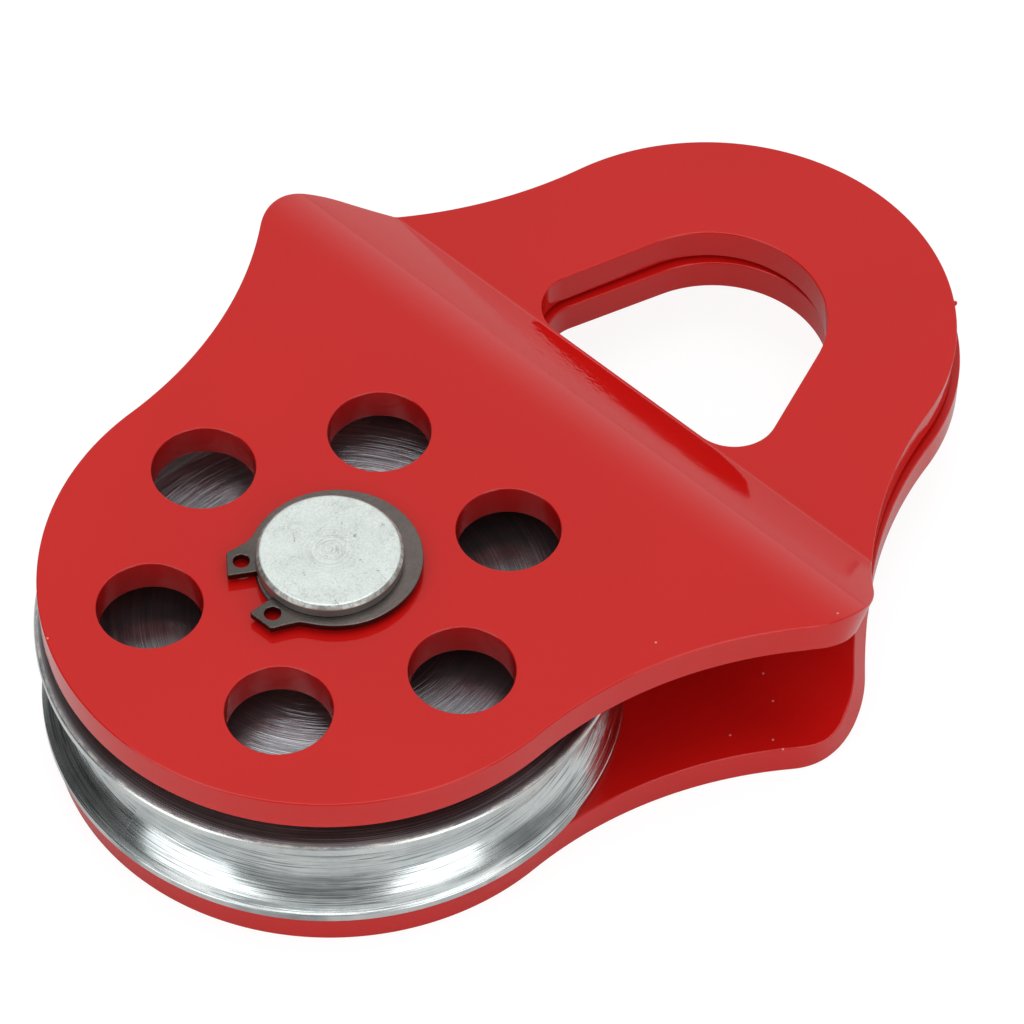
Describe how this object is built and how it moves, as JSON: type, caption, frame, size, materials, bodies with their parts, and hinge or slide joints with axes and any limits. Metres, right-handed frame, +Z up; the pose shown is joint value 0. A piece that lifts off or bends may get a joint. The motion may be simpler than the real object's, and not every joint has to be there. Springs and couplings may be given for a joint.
{
  "type": "snatch block",
  "caption": "Flat snatch block: two bent, swinging side plates on one pin, a grooved sheave between them and a wide shackle eye.",
  "frame": {"origin": "on the pin axis, at the outer face of the lower plate, which the block lies on", "axes": "+X from the pin to the shackle eye, +Y across the plates, +Z up along the pin, from the lower plate to the retaining ring"},
  "size_m": [0.2144, 0.1558, 0.0479],
  "materials": {
    "red_paint": "gloss red paint on thick steel plate",
    "sheave_zinc": "turned steel with bright zinc plating, rough on its faces",
    "pin_zinc": "turned steel with bright zinc plating",
    "sleeve_bronze": "plain bearing bronze",
    "ring_black": "blackened spring steel"
  },
  "bodies": {
    "lower_plate_and_pin": {"lower_side_plate": "red_paint", "axle_pin": "pin_zinc", "retaining_ring": "ring_black"},
    "swinging_plate": {"upper_side_plate": "red_paint"},
    "sleeve": {"sheave_sleeve": "sleeve_bronze"},
    "sheave": {"sheave": "sheave_zinc"}
  },
  "joints": [
    {"name": "plate_swing", "type": "hinge", "parent": "lower_plate_and_pin", "child": "swinging_plate", "pos_m": [0, 0, 0.0392], "axis": [0, 0, 1], "continuous": true},
    {"name": "sleeve_spin", "type": "hinge", "parent": "lower_plate_and_pin", "child": "sleeve", "pos_m": [0, 0, 0.02135], "axis": [0, 0, 1], "continuous": true},
    {"name": "sheave_spin", "type": "hinge", "parent": "sleeve", "child": "sheave", "pos_m": [0, 0, 0.019], "axis": [0, 0, 1], "continuous": true}
  ]
}
